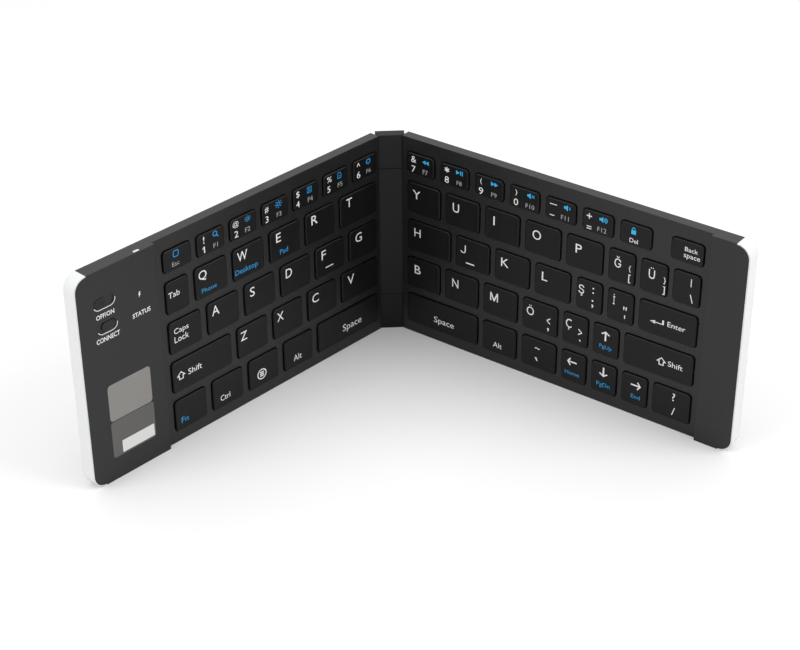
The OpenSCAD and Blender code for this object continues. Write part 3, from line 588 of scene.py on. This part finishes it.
marks = {
    "left": {
        "esc_key": [("squareRing", "blue", 104.2, 101.6, 76, 78.7),
                    ("Esc", "grey", 105, 101.4, 72.6, 74.3)],
        "left_number_keys": [
            ("!", "white", 90.3, 89.5, 75.8, 78.6), ("1", "white", 90.7, 89.6, 72.1, 74.6),
            ("lens", "blue", 85.7, 82.9, 76, 78.9), ("F1", "grey", 85.7, 83.4, 72.2, 74),
            ("@", "white", 76.1, 73.2, 76, 78.6), ("2", "white", 75.6, 73.5, 72.1, 74.7),
            ("sunSmall", "blue", 70.4, 67.3, 76.2, 78.8), ("F2", "grey", 70.3, 67.8, 72.4, 74.2),
            ("#", "white", 60.4, 58.5, 75.9, 78.4), ("3", "white", 60.7, 58.3, 72.1, 74.7),
            ("sunLarge", "blue", 55.4, 51.7, 75.8, 79.1), ("F3", "grey", 54.8, 52.1, 72.4, 74.2),
            ("$", "white", 44.6, 42.8, 75.9, 78.7), ("4", "white", 44.9, 42.8, 72.2, 74.7),
            ("keyboardBox", "blue", 39, 36.7, 76, 78.5),
            ("F4", "grey", 38.7, 36.2, 72.4, 74.3),
            ("%", "white", 28.9, 25.8, 76.2, 78.6), ("5", "white", 29, 26.5, 72.2, 74.7),
            ("page", "blue", 23.1, 21.1, 76, 78.6), ("F5", "grey", 23.2, 20.4, 72.5, 74.3),
            ("^", "white", 12.9, 11, 77.1, 78.6), ("6", "white", 12.8, 10.9, 72.2, 74.9),
            ("gear", "blue", 8, 5.1, 76, 78.8), ("F6", "grey", 7.7, 5.2, 72.6, 74.3)],
        "tab_key": [("Tab", "white", 107.7, 102.4, 60.7, 63)],
        "left_top_letter_keys": [
            ("Q", "white", 93.4, 89.6, 61.4, 65.6), ("Phone", "blue", 93, 84.5, 56.4, 58.2),
            ("W", "white", 74.8, 69.9, 61.7, 65.6), ("Desktop", "blue", 76.2, 65, 56, 58.8),
            ("E", "white", 55.9, 52.6, 61.9, 65.6), ("Pad", "blue", 53.8, 49.7, 56.4, 58.4),
            ("R", "white", 37.6, 33.8, 62, 65.7), ("T", "white", 18.7, 15.7, 61.9, 65.6)],
        "caps_lock_key": [("Caps", "white", 106.8, 99.2, 44.9, 47.8),
                          ("Lock", "white", 106.4, 99.7, 42, 44.5)],
        "left_home_letter_keys": [
            ("A", "white", 88.3, 84.8, 45.1, 49), ("S", "white", 70.3, 66.5, 45, 48.8),
            ("D", "white", 51.4, 48.2, 45.1, 48.9), ("F", "white", 33, 29.9, 45.1, 48.9),
            ("G", "white", 14.2, 10.7, 45, 48.9), ("bar", "white", 30.5, 26.5, 40.9, 41.3)],
        "left_shift_key": [("shiftArrow", "white", 106.8, 102.5, 26.1, 29.5),
                           ("Shift", "white", 101.4, 94.5, 26.4, 28.8)],
        "left_low_letter_keys": [
            ("Z", "white", 75.3, 72.1, 28.5, 32.2), ("X", "white", 56.7, 53.4, 28.5, 32.2),
            ("C", "white", 38.2, 34.8, 28.4, 32.2), ("V", "white", 19, 15.4, 28.2, 32.2)],
        "fn_key": [("Fn", "blue", 106.5, 102.3, 7.6, 10)],
        "ctrl_key": [("Ctrl", "white", 86.8, 82.1, 7.6, 10)],
        "system_key": [("menuRing", "white", 68.1, 63.4, 7.6, 12.1)],
        "left_alt_key": [("Alt", "white", 49.1, 44.9, 7.5, 10.1)],
        "left_space_key": [("Space", "white", 22.2, 11.8, 7.8, 11.7)],
    },
    "right": {
        "right_number_keys": [
            ("&", "white", 4.7, 7, 75.8, 78.5), ("7", "white", 4.9, 6.7, 71.7, 74.4),
            ("rewind", "sky", 9.9, 12.9, 76.3, 78.1), ("F7", "grey", 10.1, 12.4, 72.1, 74),
            ("*", "white", 20.2, 22.4, 76.2, 78.4), ("8", "white", 20.3, 22.2, 71.8, 74.5),
            ("playPause", "sky", 25.5, 28.5, 76.6, 78.4), ("F8", "grey", 25.7, 28.1, 72.3, 74),
            ("(", "white", 36.3, 37.3, 75.8, 78.4), ("9", "white", 35.8, 37.8, 71.7, 74.5),
            ("forward", "sky", 41.2, 44.3, 76.5, 78.3), ("F9", "grey", 41.4, 43.8, 72.1, 73.9),
            (")", "white", 51.9, 52.8, 75.8, 78.4), ("0", "white", 51.4, 53.3, 71.9, 74.6),
            ("mute", "sky", 57.2, 60.4, 76.2, 78.7), ("F10", "grey", 56.6, 60.4, 72.2, 74),
            ("bar", "white", 67, 70, 77.1, 77.4), ("bar", "white", 67.1, 69.1, 72.6, 72.9),
            ("volumeDown", "sky", 73, 75.7, 76.2, 78.6),
            ("F11", "grey", 71.9, 75.2, 72.2, 74),
            ("+", "white", 82.6, 84.8, 76.1, 78.3), ("=", "white", 82.8, 84.8, 72, 73.2),
            ("volumeUp", "sky", 87.9, 91.3, 76.1, 78.5), ("F12", "grey", 87.3, 91, 72.2, 74)],
        "delete_key": [("padlock", "sky", 101.1, 103, 75.5, 78.3),
                       ("Del", "white", 100.6, 104, 72.1, 73.8)],
        "backspace_key": [("Back", "white", 122.6, 127.8, 75.6, 77.3),
                          ("space", "white", 122.4, 128.8, 72.5, 74.4)],
        "right_top_letter_keys": [
            ("Y", "white", 5.4, 9, 60.5, 64.1), ("U", "white", 24.1, 27, 60.4, 64.2),
            ("I", "white", 42.4, 43.4, 60.5, 64.2), ("O", "white", 60, 63.7, 60.4, 64.3),
            ("P", "white", 78.4, 81.5, 60.6, 64.3), ("Ğ", "white", 95.1, 97.8, 60.2, 64.8),
            ("{", "white", 100.9, 102, 59.9, 62.5), ("[", "white", 101.1, 102, 55.4, 58.9),
            ("Ü", "white", 109.2, 111.7, 60.2, 64.8),
            ("}", "white", 115.3, 116.3, 59.7, 62.5), ("]", "white", 115.2, 116.1, 55.4, 58.8),
            ("|", "white", 125.7, 126.7, 62.1, 65.3), ("\\", "white", 125.1, 128.3, 55.8, 59)],
        "right_home_letter_keys": [
            ("H", "white", 6.1, 9.1, 44.1, 47.7), ("J", "white", 27.9, 30.3, 44.1, 47.7),
            ("bar", "white", 30.5, 34.3, 40, 40.5), ("K", "white", 46.5, 49.9, 44.3, 47.9),
            ("L", "white", 64.7, 67.1, 44.3, 47.9), ("Ş", "white", 80.8, 83.1, 43.5, 48.1),
            (":", "white", 86.6, 87.3, 45.9, 48.4), (";", "white", 86.5, 87.3, 39.8, 43.2),
            ("İ", "white", 95.4, 96.2, 44.6, 48.9), ('"', "white", 99.8, 101.3, 43.6, 45),
            ("'", "white", 100.4, 100.8, 39.9, 41.5)],
        "enter_key": [("enterArrow", "white", 111, 116.7, 42.4, 44.9),
                      ("Enter", "white", 118, 125.6, 43, 45.1)],
        "right_low_letter_keys": [
            ("B", "white", 6.1, 9.2, 27.6, 31.3), ("N", "white", 24.2, 27.1, 27.6, 31.3),
            ("M", "white", 41.9, 45.5, 27.7, 31.5), ("Ö", "white", 58.6, 61.8, 27.4, 31.9),
            ("<", "white", 67.6, 69.1, 26.2, 29), (",", "white", 67.9, 68.7, 22.9, 24.5),
            ("Ç", "white", 76, 78.5, 27.1, 31.8), (">", "white", 81.5, 83.1, 26.2, 29),
            (".", "white", 82, 82.7, 23.7, 24.4)],
        "right_shift_key": [("shiftArrow", "white", 114.8, 118.9, 26.1, 29.5),
                            ("Shift", "white", 119.5, 125.7, 26.7, 28.9)],
        "arrow_keys": [
            ("arrowUp", "white", 91.3, 95.1, 27.8, 31.9), ("PgUp", "blue", 90.2, 96.6, 23.9, 26),
            ("arrowLeft", "white", 77.3, 81.5, 11.7, 15.2), ("Home", "blue", 76.5, 82.8, 7.7, 9.4),
            ("arrowDown", "white", 91.3, 95.1, 12, 16.1), ("PgDn", "blue", 90.4, 96.2, 7.1, 9.4),
            ("arrowRight", "white", 105, 109.3, 11.7, 15.2), ("End", "blue", 105.2, 109.3, 7.7, 9.4)],
        "right_space_key": [("Space", "white", 15.1, 25.6, 7.7, 11.2)],
        "right_alt_key": [("Alt", "white", 43.7, 47.7, 7.4, 9.7)],
        "tilde_key": [("~", "white", 62.8, 65, 13.4, 14.1), ("`", "white", 62.8, 64.2, 8.2, 9.6)],
        "slash_key": [("?", "white", 121.6, 124.4, 12.8, 16.1),
                      ("/", "white", 121.7, 124.7, 6.7, 9.9)],
    },
}
for side, groups in marks.items():
    for node, group in groups.items():
        printPiece(node + "_legends", side, group, node + "_body",
                   lambda s, z, places=keys[side][node]: capTop(places, s, z))
print("legends printed:", sum(len(group) for groups in marks.values() for group in groups.values()))


# Left end section: words, signs, painted rim highlights and bare plates on the raised cover

endMarks = [
    ("OFF/ON", "white", 140, 132.2, 66.7, 68.5), ("CONNECT", "white", 140.8, 130.6, 57.4, 59.3),
    ("STATUS", "white", 124.6, 116.6, 60.7, 62.5), ("bolt", "white", 121.4, 120.3, 67.8, 70.1)]
# The painted rim highlights go on the cover in white ink, laid like the words
for name, dish in dishes.items():
    (s, z), outline = dish["at"], signs[name][0]
    least, most = outline.min(0), outline.max(0)
    endMarks.append((name, "white", s - least[0], s - most[0], z + least[1], z + most[1]))
printPiece("end_section_words", "left", endMarks, "left_half",
           lambda s, z: np.full(np.shape(s), -panel["endRise"]))

plates = {
    "upper_label": {"s": (119.2, 138.4), "z": (24.4, 39.3), "corner": 1.4, "finish": "paleLabel",
                    "front": 0.06},
    "lower_label": {"s": (118.9, 138.4), "z": (9.1, 24.1), "corner": 1.2, "finish": "darkLabel",
                    "front": 0.06},
    "label_patch": {"s": (119.5, 134.2), "z": (9.8, 14.8), "corner": 0.3, "finish": "paper",
                    "front": 0.1},
}
plateEdge = 0.03
for name, plate in plates.items():
    centre = np.array([sum(plate["s"]) / 2, sum(plate["z"]) / 2])
    size = np.array([plate["s"][1] - plate["s"][0], plate["z"][1] - plate["z"][0]])
    levels = ((0, 0.02), (0, plateEdge - plate["front"]), (plateEdge, -plate["front"]))
    rings = np.stack([roundedRing(*(size - 2 * inset), plate["corner"] - inset) + centre
                      for inset, _ in levels])
    depth = np.array([level for _, level in levels])[:, None] - panel["endRise"]
    points = place("left", rings[..., 0], depth, rings[..., 1])
    piece = makePiece(name, points.reshape(-1, 3), ringFaces(*rings.shape[:2]), [plate["finish"]])
    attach(piece, "left_half")
print("end section dressed")
bpy.data.objects.remove(wordObject)


# Front cover of the spine: a trapezoid with rounded front corners, grooved at both seams

spine = {"front": 4.75, "back": 4.75, "round": 0.25, "depth": 1.0, "pinDepth": 2.92, "groove": 0.35,
         "hinge": 4.6, "seams": (15.6, 71.2), "seam": 0.32}


def spineRing(front, back, inset):
    # From the back left corner round the front to the back right one
    turn = np.linspace(0, math.pi / 2, 6)
    side, corner = front - inset, spine["round"]
    right = np.stack([side - corner + corner * np.sin(turn),
                      inset + corner - corner * np.cos(turn)], 1)
    left = right[::-1] * (-1, 1)
    return np.vstack([[(-back + inset, spine["depth"])], left, right,
                      [(back - inset, spine["depth"])]])


low, high = spine["seams"]
reach = spine["seam"] / 2
middle, ends = (spine["front"], spine["back"]), (spine["hinge"], spine["hinge"])
levels = [(0, *ends, 0), (low - reach, *ends, 0), (low - reach, *ends, spine["groove"]),
          (low + reach, *middle, spine["groove"]), (low + reach, *middle, 0),
          (high - reach, *middle, 0), (high - reach, *middle, spine["groove"]),
          (high + reach, *ends, spine["groove"]), (high + reach, *ends, 0),
          (panel["width"], *ends, 0)]
pins = np.array([half["pin"] for half in halves.values()]).mean(0)
rings = []
for z, *shape in levels:
    ring = spineRing(*shape) * mm
    rings.append(np.column_stack([ring[:, 0] + pins[0],
                                  ring[:, 1] + pins[1] - spine["pinDepth"] * mm,
                                  np.full(len(ring), z * mm)]))
rings = np.stack(rings)
piece = makePiece("spine_face", rings.reshape(-1, 3), ringFaces(*rings.shape[:2]), ["spine"])
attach(piece, "spine")
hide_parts("spine_front_cover")
print("spine dressed")


# Flat cable: the middle stays with the spine and each end with its half, so it parts at a fold

cable = {"depth": 2.1, "thickness": 0.15, "z": (34, 50), "edge": -0.2, "reach": 6.0,
         "spineHalf": 5.0, "spineDepth": 2.0}


def cableStrip(name, front, body):
    # A strip standing on the line its front makes, seen from above
    line = np.vstack([front, front[::-1] + (0, cable["thickness"] * mm)])
    rings = np.stack([np.column_stack([line, np.full(len(line), z * mm)]) for z in cable["z"]])
    piece = makePiece(name, rings.reshape(-1, 3), ringFaces(*rings.shape[:2]), ["film"])
    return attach(piece, body)


ends = {side: place(side, np.array([cable["edge"], cable["reach"]]), cable["depth"], 0)[:, :2]
        for side in halves}
level = pins[1] + (cable["spineDepth"] - spine["pinDepth"]) * mm
bend = np.array([[pins[0] + way * cable["spineHalf"] * mm, level] for way in (-1, 1)])
piece = cableStrip("cable_middle", np.vstack([ends["left"][:1], bend, ends["right"][:1]]), "spine")
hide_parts("flex_cable")
for side in halves:
    cableStrip(side + "_cable_end", ends[side], side + "_half")
print("cable dressed")


# Floor, light and camera

floorSize = {"width": 6.0, "depth": 6.0, "glow": 0.25}
floor = bpy.data.objects.new("floor", bpy.data.meshes.new("floor"))
w, d = floorSize["width"] / 2, floorSize["depth"] / 2
floor.data.from_pydata([(-w, -d, 0), (w, -d, 0), (w, d, 0), (-w, d, 0)], [], [(0, 1, 2, 3)])
bpy.context.scene.collection.objects.link(floor)
look = Look("floor")
tint = look.blend(look.noise(400.0), (0.795, 0.795, 0.8), (0.805, 0.805, 0.805))
seen = look.node("ShaderNodeLightPath", output="Is Camera Ray")
# Painted shade: the camera-only glow is scaled by ambient occlusion, so the floor darkens under and
# beside the object
clear = look.node("ShaderNodeAmbientOcclusion", {"samples": 8}, {"Distance": 0.08}, "AO")
lit = look.node("ShaderNodeBsdfDiffuse", None, {"Color": tint})
glow = look.node("ShaderNodeEmission", None, {"Color": (1, 1, 1, 1),
                                              "Strength": seen * clear * floorSize["glow"]})
floor.data.materials.append(look.surface(
    look.node("ShaderNodeAddShader", None, {0: lit, 1: glow})))

sky = {"light": 0.6, "background": 1.0}
world = bpy.data.worlds.new("studio")
bpy.context.scene.world = world
look = Look("studio", world)
rays = look.tree.nodes.new("ShaderNodeLightPath")
direct = Value(look, rays.outputs["Is Camera Ray"])
mirrored = Value(look, rays.outputs["Is Glossy Ray"])
through = Value(look, rays.outputs["Is Transmission Ray"])
shown = (direct + mirrored + through).clip()
strength = shown * (sky["background"] - sky["light"]) + sky["light"]
backdrop = look.node("ShaderNodeBackground", None, {"Color": (1, 1, 1, 1), "Strength": strength})
worldEnd = look.tree.nodes.new("ShaderNodeOutputWorld")
look.tree.links.new(backdrop.socket, worldEnd.inputs["Surface"])

lamps = {
    "overhead": {"at": (0.0, -0.1, 1.3), "aim": (0, 0, 0.03), "size": 1.2, "power": 2.6},
    "fromLeft": {"at": (-1.1, -0.5, 0.9), "aim": (0, 0, 0.03), "size": 0.9, "power": 5.4},
    "fromRight": {"at": (1.1, -0.4, 0.9), "aim": (0, 0, 0.03), "size": 0.9, "power": 7.3},
}


def aimed(at, aim):
    # A place and direction as a matrix, looking down its own -Z
    away = np.array(at, float) - np.array(aim, float)
    away /= np.linalg.norm(away)
    right = np.cross((0, 0, 1), away)
    right = right / np.linalg.norm(right) if np.linalg.norm(right) > 0.01 else np.array((1.0, 0, 0))
    up = np.cross(away, right)
    return Matrix([(*row, at[i]) for i, row in enumerate(np.stack([right, up, away], 1))]
                  + [(0, 0, 0, 1)])


for name, lamp in lamps.items():
    light = bpy.data.lights.new(name, "AREA")
    light.shape, light.size, light.energy = "DISK", lamp["size"], lamp["power"]
    made = bpy.data.objects.new(name, light)
    made.matrix_world = aimed(lamp["at"], lamp["aim"])
    bpy.context.scene.collection.objects.link(made)

view = {"at": (-0.0369606, -0.6060693, 0.4018900), "yaw": 3.2391, "pitch": -31.4295,
        "roll": -0.3901, "lens": 86.13, "sensor": 36}
yaw, pitch, roll = (math.radians(view[key]) for key in ("yaw", "pitch", "roll"))
ahead = np.array([math.sin(yaw) * math.cos(pitch), math.cos(yaw) * math.cos(pitch),
                  math.sin(pitch)])
sideways = np.array([math.cos(yaw), -math.sin(yaw), 0])
upward = np.cross(sideways, ahead)
across = math.cos(roll) * sideways + math.sin(roll) * upward
over = math.cos(roll) * upward - math.sin(roll) * sideways
camera = bpy.data.objects.new("camera", bpy.data.cameras.new("camera"))
camera.data.lens, camera.data.sensor_width = view["lens"], view["sensor"]
camera.data.sensor_fit = "HORIZONTAL"
camera.data.clip_start, camera.data.clip_end = 0.02, 20
camera.matrix_world = Matrix([(*row, view["at"][i]) for i, row in enumerate(
    np.stack([across, over, -ahead], 1))] + [(0, 0, 0, 1)])
bpy.context.scene.collection.objects.link(camera)
bpy.context.scene.camera = camera
bpy.context.scene.view_settings.view_transform = "Standard"
print("studio ready")
